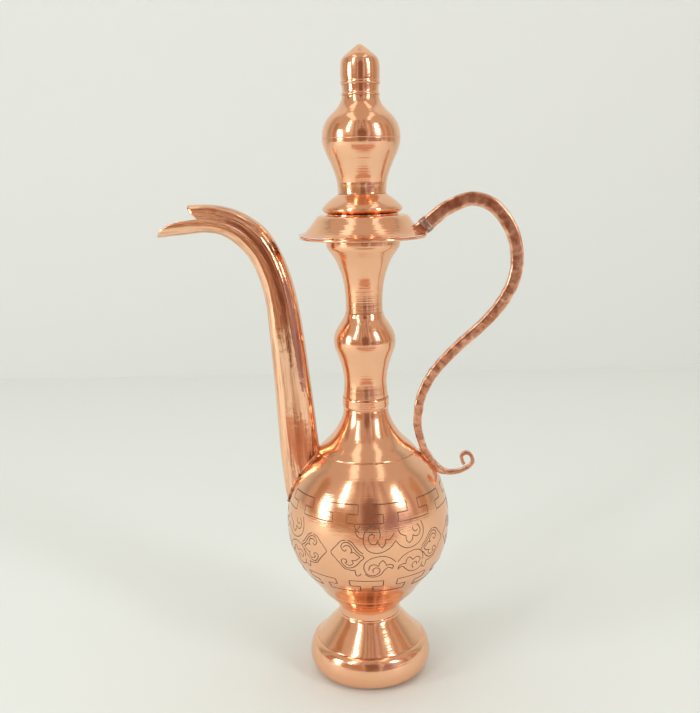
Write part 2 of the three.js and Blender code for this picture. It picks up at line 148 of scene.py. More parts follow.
def capped_faces(rows, columns):
    """Faces over a grid of corners, with a face that closes each end."""
    last = (rows - 1) * columns
    first_end = tuple(reversed(range(columns)))
    last_end = tuple(range(last, last + columns))
    return [*grid_faces(rows, columns), first_end, last_end]


def superellipse(turn, power):
    """A direction's place on a rounded square, as [across, up]."""
    u, v = math.cos(turn), math.sin(turn)
    size = (abs(u) ** power + abs(v) ** power) ** (-1 / power)
    return u * size, v * size


def wander(point, size, seed):
    """A soft random number at a place, from about -1 to 1."""
    return noise.noise(Vector(point) / size + Vector((seed * 7.3, seed * 3.1, seed * 5.7)))


def hand_work(place, wave, seed):
    """How far a hand-worked skin dips at a place: never outwards."""
    return wander(place, wave, seed) - 0.8


def turn_skin(name, outline, material, unevenness=0.0, wave=14.0, seed=1):
    """Turns a closed outline in [radius, height] round the axis, with a little hand-made unevenness."""
    angles = np.arange(AROUND) * TURN / AROUND
    corners = []
    for radius, height in outline:
        ring = np.stack([radius * np.cos(angles), radius * np.sin(angles), np.full(AROUND, height)], axis=1)
        if unevenness:
            push = np.array([hand_work(c, wave, seed) for c in ring]) * unevenness
            ring[:, 0] += push * np.cos(angles)
            ring[:, 1] += push * np.sin(angles)
        corners.append(ring)
    return mesh_piece(name, np.vstack(corners), grid_faces(len(outline), AROUND, close_rows=True), material)


def groove(line, height, depth, width):
    """Cuts a fine turned line into an outline, all round the piece, at a height."""
    cut = line.copy()
    away = (line[:, 1] - height) / width
    cut -= normals_of(line) * (depth * np.exp(-away ** 2))[:, None]
    return cut


def fitted(node, outline, raised=0.0):
    """Scales an outline, drawn from the piece's own bottom, to the node's height and radius."""
    bottom, top, radius = reach(node)
    top += raised
    outline = np.array(outline, float)
    scale = np.array([radius / outline[:, 0].max(), (top - bottom) / outline[:, 1].max()])
    return outline * scale + np.array([0, bottom])


def sheet_outline(outside):
    """A closed outline from the outside of a sheet, with eased edges and the inside."""
    inside = (outside - normals_of(outside) * SHEET)[::-1]
    inside[:, 0] = np.maximum(inside[:, 0], 0.05)
    top = sheet_edge(outside[-1], inside[0])
    bottom = sheet_edge(inside[-1], outside[0])
    return np.vstack([outside[1:-1], top, inside[1:-1], bottom])


def skin(node, drawn, material, body, slot, step=0.5, grooves=(), **unevenness):
    """One turned sheet piece that stands for a node, raised to close its joint with the piece above."""
    outside = smooth_line(fitted(node, drawn, JOINT_GAP), step)
    for height, depth, width in grooves:
        outside = groove(outside, height, depth, width)
    outline = sheet_outline(outside)
    outline[:, 1] = np.clip(outline[:, 1], outside[:, 1].min(), outside[:, 1].max())
    piece = turn_skin(node + "_skin", outline, material, **unevenness)
    return settle(piece, body, slot, node)


def settle(piece, body, slot, *nodes):
    """Ties a piece to its body and hides the nodes it stands for. The finish it is given is not used."""
    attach(piece, body)
    if nodes:
        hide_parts(*nodes)
    return piece


# ---- Shader wiring -------------------------------------------------------------------------------
class Wire:
    """A shader socket that can be used in plain arithmetic."""

    def __init__(self, bench, socket):
        self.bench = bench
        self.socket = socket

    def math(self, operation, *others):
        return self.bench.node("ShaderNodeMath", {"operation": operation}, *[self, *others])

    def __add__(self, other):
        return self.math("ADD", other)

    __radd__ = __add__

    def __mul__(self, other):
        return self.math("MULTIPLY", other)

    __rmul__ = __mul__

    def __sub__(self, other):
        return self.math("SUBTRACT", other)

    def __rsub__(self, other):
        return self.bench.node("ShaderNodeMath", {"operation": "SUBTRACT"}, other, self)

    def held(self):
        """Kept between 0 and 1."""
        return self.bench.node("ShaderNodeClamp", {}, self)


class Bench:
    """A material being put together."""

    def __init__(self, name):
        self.material = bpy.data.materials.new(name)
        self.material.use_nodes = True
        self.nodes = self.material.node_tree.nodes
        self.links = self.material.node_tree.links
        self.nodes.clear()
        self.shader = self.nodes.new("ShaderNodeBsdfPrincipled")
        end = self.nodes.new("ShaderNodeOutputMaterial")
        self.links.new(self.shader.outputs["BSDF"], end.inputs["Surface"])
        self.place = self.node("ShaderNodeTexCoord", {}, out="Object")

    def node(self, kind, settings, *values, out=0, **named):
        """Adds a node: its settings first, then its sockets in order or by name."""
        made = self.nodes.new(kind)
        for key, value in settings.items():
            setattr(made, key, value)
        for key, value in [*enumerate(values), *named.items()]:
            if value is not None:
                self.feed(made.inputs[key], value)
        return Wire(self, made.outputs[out])

    def feed(self, socket, value):
        """Links a wire to a socket, or sets it to a plain value."""
        if isinstance(value, Wire):
            self.links.new(value.socket, socket)
        else:
            socket.default_value = value

    def grain(self, scale, detail=3.0, roughness=0.55, place=None):
        """Soft noise in millimetre-sized grains, from 0 to 1."""
        sockets = {"Scale": 1 / (scale * MM), "Detail": detail, "Roughness": roughness}
        return self.node("ShaderNodeTexNoise", {}, place or self.place, out="Fac", **sockets)

    def stretched(self, x, y, z):
        """Object coordinates squeezed along each axis."""
        return self.node(
            "ShaderNodeVectorMath", {"operation": "MULTIPLY"}, self.place, (x, y, z), out="Vector"
        )

    def blend(self, share, first, second):
        """Mixes two colours."""
        made = self.nodes.new("ShaderNodeMix")
        made.data_type = "RGBA"
        for socket, value in ((made.inputs[0], share), (made.inputs[6], first), (made.inputs[7], second)):
            if isinstance(value, tuple):
                value = (*value, 1)
            self.feed(socket, value)
        return Wire(self, made.outputs[2])

    def bump(self, height, distance, under=None):
        """Relief of a depth in millimetres, on top of another relief if one is given."""
        return self.node(
            "ShaderNodeBump", {}, out="Normal",
            Strength=1.0, Distance=distance * MM, Height=height, Normal=under,
        )

    def finish(self, **sockets):
        """Sets the shader's sockets, named with underscores, and hands over the material."""
        for key, value in sockets.items():
            self.feed(self.shader.inputs[key.replace("_", " ")], value)
        return self.material


BRIGHT = (0.97, 0.58, 0.37)
WARM = (0.93, 0.50, 0.30)
DEEP = (0.62, 0.26, 0.13)
BROWN = (0.40, 0.16, 0.08)
PATINA = (0.045, 0.028, 0.022)
BURN_RADIUS = 5.0


def burnt(bench, colour, specks, centre):
    """A ragged burnt spot around a place."""
    spot = tuple(c * MM for c in centre)
    away = bench.node("ShaderNodeVectorMath", {"operation": "DISTANCE"}, bench.place, spot, out="Value")
    near = ((BURN_RADIUS * MM + (specks - 0.5) * 0.006) - away) * 900
    return bench.blend(near.held() * 0.85, colour, PATINA)


def drawn_marks_and_painted_stripes(bench, colour):
    """Painted light and dark reflection stripes along the tube, with a matching ripple in the relief, and
    fine drawing marks. Returns the colour and the relief.
    """
    place = bench.node("ShaderNodeAttribute", {"attribute_name": "run"}, out="Vector")
    stripe_reflections_and_ripples = bench.grain(2.6, 3.0, 0.6, place)
    marks = bench.grain(0.9, 3.0, 0.6, place)
    # Painted reflection: dark stripes along the tube, put into the colour.
    colour = bench.blend(((stripe_reflections_and_ripples - 0.47) * 8.0).held() * 0.6, colour, DEEP)
    colour = bench.blend(((marks - 0.52) * 8.0).held() * 0.45, colour, BROWN)
    return colour, bench.bump(marks, 0.05, under=bench.bump(stripe_reflections_and_ripples, 0.3))


def copper(name, light, dark, shine, tarnish, turning=0.0, fine=0.7, haze=0.8, burn=None):
    """Polished sheet copper: cloudy colour and polishing haze.

    It has fine lathe rings where it is turned; where it is drawn, it has painted light and dark reflection
    stripes and fine drawing marks along it.
    """
    bench = Bench(name)
    clouds = bench.grain(22.0, 4.0)
    specks = bench.grain(1.6, 5.0, 0.7)
    handling = bench.grain(9.0, 3.0)
    colour = bench.blend((clouds * 1.6 - 0.35).held(), dark, light)
    colour = bench.blend(((specks - 0.6) * 5.0).held() * tarnish, colour, DEEP)
    if burn:
        colour = burnt(bench, colour, specks, burn)
    if turning:
        rings = bench.grain(fine, 2.0, 0.5, bench.stretched(0.03, 0.03, 1.0))
        normal = bench.bump(rings, turning)
    else:
        colour, normal = drawn_marks_and_painted_stripes(bench, colour)
    normal = bench.bump(bench.grain(5.0, 2.0), 0.05, under=normal)
    rough = (handling * 0.16 + specks * 0.06) * haze + shine
    return bench.finish(Base_Color=colour, Metallic=1.0, Roughness=rough, Normal=normal)


def engraved_line():
    """The darkened bottom of an engraved line."""
    bench = Bench("engraved_patina")
    grain = bench.grain(0.7, 4.0)
    colour = bench.blend((grain * 1.4 - 0.3).held(), (0.10, 0.042, 0.026), (0.30, 0.14, 0.085))
    return bench.finish(
        Base_Color=colour, Metallic=0.6, Roughness=grain * 0.3 + 0.35, Normal=bench.bump(grain, 0.04),
    )


def bar_copper():
    """The hammered bar: browner, with scale left in the hollows."""
    bench = Bench("hammered_bar_copper")
    patches = bench.grain(4.2, 3.0, 0.6)
    scale = bench.grain(1.3, 5.0, 0.7)
    colour = bench.blend((patches * 3.4 - 1.2).held(), (0.57, 0.25, 0.14), (0.95, 0.59, 0.41))
    colour = bench.blend(((scale - 0.55) * 5).held() * 0.5, colour, (0.24, 0.10, 0.06))
    return bench.finish(
        Base_Color=colour, Metallic=1.0, Roughness=scale * 0.22 + 0.12, Normal=bench.bump(scale, 0.05),
    )


def grey_solder():
    """Soft solder: dull, lumpy, with burnt flux in its creases."""
    bench = Bench("grey_solder")
    lumps = bench.grain(1.3, 5.0, 0.65)
    flux = bench.grain(3.2, 3.0)
    colour = bench.blend((lumps * 2.0 - 0.5).held(), (0.22, 0.12, 0.09), (0.70, 0.50, 0.40))
    colour = bench.blend(((flux - 0.5) * 4).held() * 0.6, colour, PATINA)
    return bench.finish(
        Base_Color=colour, Metallic=0.9, Roughness=lumps * 0.3 + 0.2, Normal=bench.bump(lumps, 0.25),
    )


def seam_solder():
    """A thin copper-washed seam with burnt spots along it."""
    bench = Bench("seam_solder")
    lumps = bench.grain(1.2, 5.0, 0.65)
    spots = bench.grain(4.5, 4.0, 0.7)
    colour = bench.blend((lumps * 2.0 - 0.5).held(), (0.42, 0.19, 0.10), (0.80, 0.42, 0.25))
    colour = bench.blend(((spots - 0.52) * 9).held(), colour, (0.05, 0.03, 0.025))
    return bench.finish(
        Base_Color=colour, Metallic=0.95, Roughness=lumps * 0.25 + 0.22, Normal=bench.bump(lumps, 0.15),
    )


RAISED = copper("raised_copper", BRIGHT, WARM, 0.065, 0.45, turning=0.05, fine=0.6)
SPUN = copper("spun_copper", BRIGHT, WARM, 0.05, 0.4, turning=0.055)
SPOUT_COPPER = copper(
    "drawn_copper", (0.99, 0.63, 0.42), (0.95, 0.55, 0.35), 0.02, 0.3, haze=0.55, burn=(-41.5, -5.5, 226.5),
)
PATINA_LINE = engraved_line()
BAR = bar_copper()
GREY_SOLDER = grey_solder()
SEAM_SOLDER = seam_solder()

# ---- Foot ----------------------------------------------------------------------------------------
FOOT_RING = [
    (25.5, 0), (27.6, 0.8), (29.8, 2.4), (31.3, 4.8), (32.1, 7.9), (31.9, 10.5), (31.3, 13.1), (30.1, 15.9),
    (28.5, 17.3), (27.9, 17.6),
]
skin("foot_ring", FOOT_RING, SPUN, "ewer", "copper", unevenness=0.06, seed=2)

FOOT_CONE = [
    (28.0, 0), (27.5, 0.6), (25.0, 3.3), (22.3, 6.3), (19.6, 9.3), (17.3, 11.9), (16.4, 13.1), (16.3, 13.8),
]
skin("foot_cone", FOOT_CONE, SPUN, "ewer", "copper", unevenness=0.06, seed=3)


def base_plate():
    """The disc that closes the foot, with five turned rings and a centre mark."""
    bottom, top, radius = reach("foot_base_plate")
    edge = 0.25
    outline = [(0.02, top), (0.02, bottom + 0.35), (3.0, bottom + 0.3), (4.0, bottom + 0.02)]
    for ring in range(1, 6):
        at = 4.0 + ring * (radius - 6.0) / 6
        outline += [(at - 0.4, bottom), (at, bottom + 0.15), (at + 0.4, bottom)]
    outline += [(radius - edge, bottom), (radius, bottom + edge), (radius, top - edge), (radius - edge, top)]
    piece = turn_skin("foot_base_plate_skin", np.array(outline), SPUN)
    settle(piece, "ewer", "copper", "foot_base_plate")


base_plate()

# ---- Belly ---------------------------------------------------------------------------------------
BELLY_UNEVEN = 0.12
BELLY_WAVE = 17.0
BELLY_SEED = 4
BELLY = [
    (16.3, 0), (16.35, 2.0), (16.7, 4.2), (17.5, 5.9), (19.3, 7.9), (22.3, 10.9), (24.9, 13.7),
    (27.4, 17.3), (30.9, 21.7), (33.8, 25.7), (36.7, 29.8), (38.9, 33.9), (40.4, 38.2), (41.5, 43.8),
    (42.1, 52.7), (41.0, 62.4), (38.0, 72.2), (32.5, 80.9), (25.4, 88.4),
]
SHOULDER = [
    (25.4, 0), (23.2, 2.4), (19.7, 5.7), (16.9, 8.9), (14.8, 12.1), (13.1, 15.3), (11.9, 18.5),
    (11.4, 21.4), ]
belly_line = smooth_line(fitted("belly_bowl", BELLY, JOINT_GAP), 0.45)
belly_line[:, 0] -= 0.03
for ring_height in (38.0, 43.0, 47.7):
    belly_line = groove(belly_line, ring_height, 0.12, 0.35)
shoulder_line = smooth_line(fitted("shoulder", SHOULDER), 0.5)


def body_radius(height):
    """Radius of belly or shoulder at a height."""
    line = belly_line if height <= belly_line[-1, 1] else shoulder_line
    return float(np.interp(height, line[:, 1], line[:, 0]))


def belly_point(angle, height, lift=0.0):
    """A place on the belly: angle in degrees from the front, rising towards the handle."""
    turn = math.radians(angle - 90)
    radius = body_radius(height)
    place = (radius * math.cos(turn), radius * math.sin(turn), height)
    radius += hand_work(place, BELLY_WAVE, BELLY_SEED) * BELLY_UNEVEN + lift
    return (radius * math.cos(turn), radius * math.sin(turn), height)


def belly():
    """The raised bowl, closed at the bottom, with its three fine rings."""
    inside = spread((belly_line - normals_of(belly_line) * SHEET)[::-1], 2.0)
    floor = belly_line[0, 1]
    rim = sheet_edge(belly_line[-1], inside[0])
    outline = np.vstack([[(0.02, floor)], belly_line[:-1], rim, inside[1:], [(0.02, floor + SHEET)]])
    piece = turn_skin(
        "belly_bowl_skin", outline, RAISED, unevenness=BELLY_UNEVEN, wave=BELLY_WAVE, seed=BELLY_SEED,
    )
    settle(piece, "ewer", "copper", "belly_bowl")


belly()
skin("shoulder", SHOULDER, RAISED, "ewer", "copper", unevenness=0.1, seed=5)

# ---- Neck ----------------------------------------------------------------------------------------
COLLAR = [(11.5, 0), (11.3, 0.5), (11.5, 1.0), (11.8, 1.6), (11.8, 3.6), (11.8, 5.5), (11.6, 6.1)]
skin("neck_collar", COLLAR, SPUN, "ewer", "copper", step=0.25)

KNOP = [
    (11.4, 0), (11.2, 2.5), (10.85, 7.4), (11.0, 10.0), (11.5, 13.3), (12.9, 18.8), (14.2, 22.3),
    (15.2, 25.2), (15.6, 28.4), (15.3, 31.4), (14.2, 34.2), (12.4, 37.3), (10.4, 40.4), (9.5, 42.9),
]
skin("neck_knop", KNOP, SPUN, "ewer", "bright_copper", unevenness=0.07, seed=6)

CUP = [
    (9.3, 0), (9.25, 3.0), (9.3, 7.0), (9.7, 12.4), (10.2, 15.4), (10.9, 18.4), (11.9, 21.3), (13.1, 24.3),
    (14.7, 27.3), (16.6, 30.0), (17.5, 31.2), (17.9, 31.9), (18.2, 33.0), (18.4, 36.0), (18.5, 40.0),
    (18.5, 46.8),
]
cup_lines = [(reach("neck_cup")[0] + 4.5 + 1.15 * i, 0.05, 0.22) for i in range(9)]
skin("neck_cup", CUP, SPUN, "ewer", "bright_copper", step=0.3, grooves=cup_lines, unevenness=0.05, seed=7)


SAUCER = [
    (31.7, 0.35), (30.9, 0.4), (29.9, 0.8), (28.7, 1.7), (27.3, 3.0), (25.8, 4.7), (24.3, 6.6),
    (23.1, 8.3), (22.2, 9.3), (21.2, 9.75), (19.2, 9.8), (17.7, 9.8),
]


def saucer():
    """The saucer's slope with its flat seat, and the doubled edge with fine rings beside it."""
    bottom, top, radius = reach("rim_saucer")
    slope = np.array(SAUCER)
    slope *= (radius / slope[0, 0], (top - bottom) / slope[-1, 1])
    upper = smooth_line(slope + np.array([0, bottom]), 0.3)
    for above_edge, depth in ((0.75, 0.10), (1.3, 0.07), (1.9, 0.10), (2.6, 0.06), (4.0, 0.05), (6.1, 0.05)):
        upper = groove(upper, bottom + above_edge, depth, 0.16)
    lower = (upper - normals_of(upper) * SHEET)[::-1]
    lower = lower[lower[:, 1] > bottom - 0.2]
    lower[:, 1] = np.maximum(lower[:, 1], bottom)
    edges = sheet_edge(upper[-1], lower[0]), sheet_edge(lower[-1], upper[0])
    outline = np.vstack([upper[1:-1], edges[0], lower[1:-1], edges[1]])
    piece = turn_skin("rim_saucer_skin", outline, SPUN, unevenness=0.16, seed=8)
    settle(piece, "ewer", "bright_copper", "rim_saucer")


saucer()


BEAD_SIDES = 10


def ring_bead(name, node, radius, height, thickness, material, slot, lumps, gaps=()):
    """A thin bead round the axis, uneven where it is solder, and thinner in the gaps.

    Each gap is its angle and half width, in degrees.
    """
    steps = 360
    rows = []
    for i in range(steps):
        angle = TURN * i / steps
        size = thickness * (1 + lumps * wander((math.cos(angle) * 30, math.sin(angle) * 30, height), 2.2, 9))
        for at, half in gaps:
            away = abs((math.degrees(angle) - at + 180) % 360 - 180)
            if away < half:
                size *= 0.25
        for j in range(BEAD_SIDES):
            turn = TURN * j / BEAD_SIDES
            r = radius + size * math.cos(turn)
            rows.append((r * math.cos(angle), r * math.sin(angle), height + size * math.sin(turn)))
    piece = mesh_piece(name, rows, grid_faces(steps, BEAD_SIDES, close_rows=True, flip=True), material)
    settle(piece, "ewer", slot, node)


STEM = reach("foot_cone")[1]
ring_bead("foot_solder_bead", "foot_solder", 15.95, STEM + 0.3, 0.45, SPUN, "grey_solder", 0.15)
SEAM = (reach("belly_bowl")[1] + reach("shoulder")[0]) / 2
BEHIND_SPOUT = (180, 30)
ring_bead(
    "shoulder_solder_bead", "shoulder_solder", 24.85, SEAM, 0.5, SEAM_SOLDER, "dark_solder", 0.35,
    gaps=[BEHIND_SPOUT],
)
EDGE = reach("rim_bead")
ring_bead("rim_bead_wire", "rim_bead", EDGE[2] - 0.7, EDGE[1] - 0.5, 0.7, SPUN, "copper", 0.05)

# ---- Lid -----------------------------------------------------------------------------------------
FLANGE = [
    (16.9, 0), (17.7, 0.3), (18.7, 0.9), (19.5, 1.6), (19.8, 2.3), (19.4, 3.1), (18.4, 4.2), (17.0, 5.5),
    (15.3, 6.9), (13.7, 8.0), (12.5, 8.8), (12.0, 9.3),
]
flange_line = (reach("lid_flange")[0] + 2.7, 0.14, 0.22)
skin(
    "lid_flange", FLANGE, SPUN, "lid", "bright_copper", step=0.2, grooves=[flange_line],
    unevenness=0.05, seed=10,
)


def lid_sleeve():
    """The plain ring that drops into the mouth."""
    bottom, top, radius = reach("lid_sleeve")
    line = smooth_line([(radius - 0.25, bottom), (radius, bottom + 2), (radius, top - 2), (radius, top)], 0.6)
    piece = turn_skin("lid_sleeve_skin", sheet_outline(line), SPUN)
    settle(piece, "lid", "copper", "lid_sleeve")


lid_sleeve()

LID_CUP = [
    (11.9, 0), (11.85, 1.4), (12.05, 4.0), (12.6, 7.4), (14.2, 12.0), (16.2, 16.6), (17.9, 20.6),
    (18.8, 23.8), (19.0, 25.7),
]
band_lines = [(reach("lid_cup")[0] + 5.4, 0.12, 0.25), (reach("lid_cup")[0] + 0.7, 0.08, 0.2)]
skin("lid_cup", LID_CUP, SPUN, "lid", "copper", step=0.3, grooves=band_lines, unevenness=0.06, seed=11)
LID_DOME = [
    (19.0, 0), (18.95, 1.6), (18.7, 3.5), (17.8, 6.4), (16.3, 9.1), (14.7, 10.9), (13.3, 12.2),
    (11.9, 13.6), (10.8, 14.9), (9.9, 16.4), (9.2, 18.2), (9.0, 19.5),
]
skin("lid_dome", LID_DOME, SPUN, "lid", "copper", unevenness=0.06, seed=12)
FINIAL_BAND = [(9.2, 0), (9.3, 0.4), (9.2, 0.9), (8.8, 1.3), (8.75, 2.4), (8.85, 3.6), (9.0, 4.7)]
skin("finial_collar", FINIAL_BAND, SPUN, "lid", "copper", step=0.2)


FINIAL = [
    (9.1, 0), (9.4, 0.3), (9.5, 0.9), (9.4, 1.5), (9.2, 1.8), (9.3, 2.6), (9.4, 5.0), (9.4, 8.0),
    (9.2, 10.0), (8.6, 11.8), (7.3, 13.3), (5.7, 14.6), (4.1, 15.9), (2.4, 17.2), (1.1, 18.05),
    (0.02, 18.4), ]


def finial_cap():
    """The hollow point, closed at the tip."""
    outside = smooth_line(fitted("finial_cap", FINIAL), 0.25)
    inside = (outside - normals_of(outside) * SHEET)[::-1]
    inside = inside[inside[:, 0] > 0.3]
    inside[:, 1] = np.clip(inside[:, 1], outside[0, 1], outside[-1, 1] - SHEET)
    edge = sheet_edge(inside[-1], outside[0])
    outline = np.vstack([outside[1:], [(0.02, inside[0, 1])], inside[:-1], edge])
    outline[:, 1] = np.clip(outline[:, 1], outside[0, 1], outside[-1, 1])
    piece = turn_skin("finial_cap_skin", outline, SPUN, unevenness=0.04, seed=13)
    settle(piece, "lid", "copper", "finial_cap")


finial_cap()


# ---- Spout ---------------------------------------------------------------------------------------
# Edges in the plane of spout and handle, as [x, z]: front is the outer side of the root.
SPOUT_FRONT = [
    (-39.4, 86.3), (-42.4, 95.3), (-43.9, 107.3), (-45.0, 120.3), (-45.9, 140.3), (-46.9, 160.3),
    (-48.0, 178.3), (-49.1, 195.3), (-51.5, 207.8), (-56.3, 219.6), (-62.6, 226.9), (-69.6, 231.6),
    (-77.6, 233.1), (-86.9, 232.2), (-101.0, 230.9),
]
SPOUT_BACK = [
    (-20.9, 108.3), (-22.3, 114.3), (-23.5, 120.3), (-24.5, 128.3), (-26.1, 145.3), (-28.0, 162.3),
    (-30.1, 181.3), (-32.6, 198.3), (-35.7, 211.3), (-40.4, 223.8), (-46.4, 233.8), (-54.4, 240.6),
    (-63.9, 245.2), (-76.9, 247.5), (-101.4, 246.3),
]
# Where the beak is cut, as [x, z] from the lower tip up to the notch and out to the upper tip.
LOWER_LIP = [
    (-101.1, 230.8), (-99.6, 233.6), (-97.8, 235.8), (-94.7, 237.4), (-91.7, 238.6), (-85.8, 239.3),
    (-80.2, 239.7),
]
UPPER_LIP = [(-80.2, 239.9), (-81.8, 241.6), (-83.4, 243.6), (-85.0, 246.1), (-85.2, 247.2)]
SPOUT_AROUND = 112
SPOUT_FLATS = 15


def spout_section(turn, along, seed):
    """Distance from the middle for a direction in the section: an oval with uneven hammered flats."""
    flats = SPOUT_FLATS
    shifted = turn + 0.10 * math.sin(2 * turn + 1.3) + 0.05 * wander((along * 60, 0, 0), 14, seed)
    phase = (shifted * flats / TURN) % 1.0
    flat = math.cos(math.pi / flats) / math.cos((phase - 0.5) * TURN / flats)
    depth = 1.0 + 0.7 * wander((math.floor(shifted * flats / TURN) * 5.0, along * 80, 0), 20, seed)
    hollow = 0.010 * (1 - (2 * phase - 1) ** 2)
    return 1 + (flat - 1) * depth - hollow * depth


SPOUT_ROWS = 260
BEAK_DEPTH = 13.0 / 17.0  # depth at the beak as a share of the depth at the root
RUN_RADIUS = 8.5
RUN_LENGTH = 230.0


def spout_lines(shrink):
    """Lines along the spout, one for each direction round it, from inside the belly to past the beak."""
    count = 330
    at = np.linspace(0, len(SPOUT_FRONT) - 1, count)
    front = sample_line(SPOUT_FRONT, at)
    back = sample_line(SPOUT_BACK, at)
    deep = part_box("spout_tube")[1].y / MM
    middle = (front + back) / 2
    across = (back - front) / 2
    half = np.linalg.norm(across, axis=1)
    unit = across / half[:, None]
    rows = []
    for i in range(count):
        share = i / (count - 1)
        depth = deep * (1 + (BEAK_DEPTH - 1) * share)
        ring = []
        for j in range(SPOUT_AROUND):
            turn = TURN * j / SPOUT_AROUND
            size = spout_section(turn, share, 21)
            u, v = math.cos(turn) * size, math.sin(turn) * size
            squareness = 1.0 + 0.05 * math.cos(4 * turn + math.pi)
            u, v = u * squareness, v * squareness
            ring.append((
                middle[i, 0] + unit[i, 0] * (half[i] - shrink) * u,
                (depth - shrink) * v,
                middle[i, 1] + unit[i, 1] * (half[i] - shrink) * u,
            ))
        rows.append(ring)
    return np.array(rows)


def beak_reach(height):
    """How far out the beak reaches at a height."""
    notch = LOWER_LIP[-1][1]
    lip = LOWER_LIP if height < notch else UPPER_LIP
    heights = [z for _, z in lip]
    return float(np.interp(height, heights, [x for x, _ in lip]))


def first_outside(line, lift):
    """The place along a line where it leaves the belly and shoulder."""
    gaps = []
    for x, y, z in line:
        gaps.append(math.hypot(x, y) - body_radius(z) - lift)
    for i in range(len(gaps) - 1, 0, -1):
        if gaps[i - 1] < 0 <= gaps[i]:
            return i - 1 + gaps[i - 1] / (gaps[i - 1] - gaps[i])
    return 0.0


def cut_by_beak(line):
    """The place along a line where the beak is cut off."""
    for i in range(len(line) // 2, len(line)):
        if line[i, 0] < beak_reach(line[i, 2]):
            before = line[i - 1, 0] - beak_reach(line[i - 1, 2])
            after = line[i, 0] - beak_reach(line[i, 2])
            return i - 1 + before / (before - after)
    return len(line) - 1.0


def spout():
    """The faceted tube, cut where it meets the body and at the beak. Hands over its outside."""
    outer = spout_lines(0.0)
    inner = spout_lines(SHEET)
    skins = []
    for lines in (outer, inner):
        trimmed = np.zeros((SPOUT_ROWS, SPOUT_AROUND, 3))
        for j in range(SPOUT_AROUND):
            line = lines[:, j]
            start = first_outside(outer[:, j], 0.05)
            end = cut_by_beak(outer[:, j])
            at = start + (end - start) * np.linspace(0, 1, SPOUT_ROWS) ** 0.9
            at = np.clip(at, 0, len(line) - 1.001)
            trimmed[:, j] = np.stack(
                [np.interp(at, np.arange(len(line)), line[:, axis]) for axis in range(3)], axis=1
            )
        skins.append(trimmed)
    outside, inside = skins
    corners = np.vstack([outside.reshape(-1, 3), inside.reshape(-1, 3)])
    total = SPOUT_ROWS * SPOUT_AROUND
    faces = grid_faces(SPOUT_ROWS, SPOUT_AROUND, flip=True)
    faces += [tuple(c + total for c in face[::-1]) for face in faces]
    last = (SPOUT_ROWS - 1) * SPOUT_AROUND
    for j in range(SPOUT_AROUND):
        k = (j + 1) % SPOUT_AROUND
        faces.append((j, k, total + k, total + j))
        faces.append((last + k, last + j, total + last + j, total + last + k))
    piece = mesh_piece("spout_tube_skin", corners, faces, SPOUT_COPPER)
    run = piece.data.attributes.new("run", "FLOAT_VECTOR", "POINT")
    for i in range(2 * total):
        row, column = divmod(i % total, SPOUT_AROUND)
        turn = TURN * column / SPOUT_AROUND
        along = RUN_LENGTH * 0.05 * row / SPOUT_ROWS  # pressed together, so that marks run along the tube
        run.data[i].vector = Vector((RUN_RADIUS * math.cos(turn), RUN_RADIUS * math.sin(turn), along)) * MM
    settle(piece, "ewer", "bright_copper", "spout_tube")
    return outside


spout_skin = spout()


def solder_run(name, path, thickness, material, slot, node):
    """A lumpy bead of solder that follows a closed path of places."""
    path = np.array(path)
    along = np.roll(path, -1, axis=0) - np.roll(path, 1, axis=0)
    rows = []
    for place, direction in zip(path, along):
        direction = Vector(direction).normalized()
        side = direction.cross(Vector((0, 0, 1))).normalized()
        up = side.cross(direction)
        size = thickness * (1 + 0.45 * wander(place, 2.0, 30))
        for j in range(BEAD_SIDES):
            turn = TURN * j / BEAD_SIDES
            rows.append(Vector(place) + (side * math.cos(turn) + up * math.sin(turn)) * size)
    faces = grid_faces(len(path), BEAD_SIDES, close_rows=True)
    piece = mesh_piece(name, [tuple(c) for c in rows], faces, material)
    settle(piece, "ewer", slot, node)


def spout_solder():
    """The seam round the root of the spout."""
    root = spout_skin[0]
    path = []
    for i in range(SPOUT_AROUND * 3):
        j, part = divmod(i, 3)
        start, end = root[j], root[(j + 1) % SPOUT_AROUND]
        x, y, z = start + (end - start) * part / 3
        scale = (body_radius(z) + 0.25) / math.hypot(x, y)
        path.append((x * scale, y * scale, z))
    solder_run("spout_solder_bead", path, 0.6, SEAM_SOLDER, "grey_solder", "spout_solder")


spout_solder()


# ---- Handle --------------------------------------------------------------------------------------
# Middle of the bar, as [x, z]: from the saucer over the arch, down the limb, along the belly and
# round the scroll.
BAR_LINE = [
    (27.5, 232.3), (32.9, 236.7), (41.4, 243.1), (53.1, 247.2), (63.6, 243.8), (71.6, 234.0), (75.3, 223.0),
    (75.0, 210.0), (69.6, 197.7), (59.7, 185.7), (46.2, 173.6), (34.9, 161.3), (28.4, 149.0), (26.2, 136.1),
    (26.9, 129.7), (29.4, 120.9), (31.9, 116.4), (35.5, 111.7), (39.4, 108.7), (43.4, 107.8), (48.4, 108.5),
    (52.6, 110.7), (54.6, 113.4), (53.6, 117.0), (51.0, 118.1), (48.9, 116.5), (49.3, 113.8), (50.2, 112.0),
]
BELLY_FOOT = 15  # the point of the line where the bar reaches the belly
SCROLL = 20  # the point where the scroll begins
# In-plane and cross thickness at the arch, where the bar reaches the belly, and at the scroll.
ARCH_BAR, LIMB_BAR, TAIL_BAR = (7.48, 5.2), (4.18, 4.6), (2.0, 3.0)
LIMB_TAPER = 1.4
BAR_AROUND = 40


def bar_thickness(place):
    """In-plane and cross thickness of the bar at a place, counted in points of its line."""
    limb = min(place / BELLY_FOOT, 1)
    tail = min(max((place - BELLY_FOOT) / (SCROLL + 1 - BELLY_FOOT), 0), 1)
    tail = tail * tail * (3 - 2 * tail)
    thick = ARCH_BAR[0] + (LIMB_BAR[0] - ARCH_BAR[0]) * limb ** LIMB_TAPER
    cross = ARCH_BAR[1] + (LIMB_BAR[1] - ARCH_BAR[1]) * limb
    return thick + (TAIL_BAR[0] - thick) * tail, cross + (TAIL_BAR[1] - cross) * tail


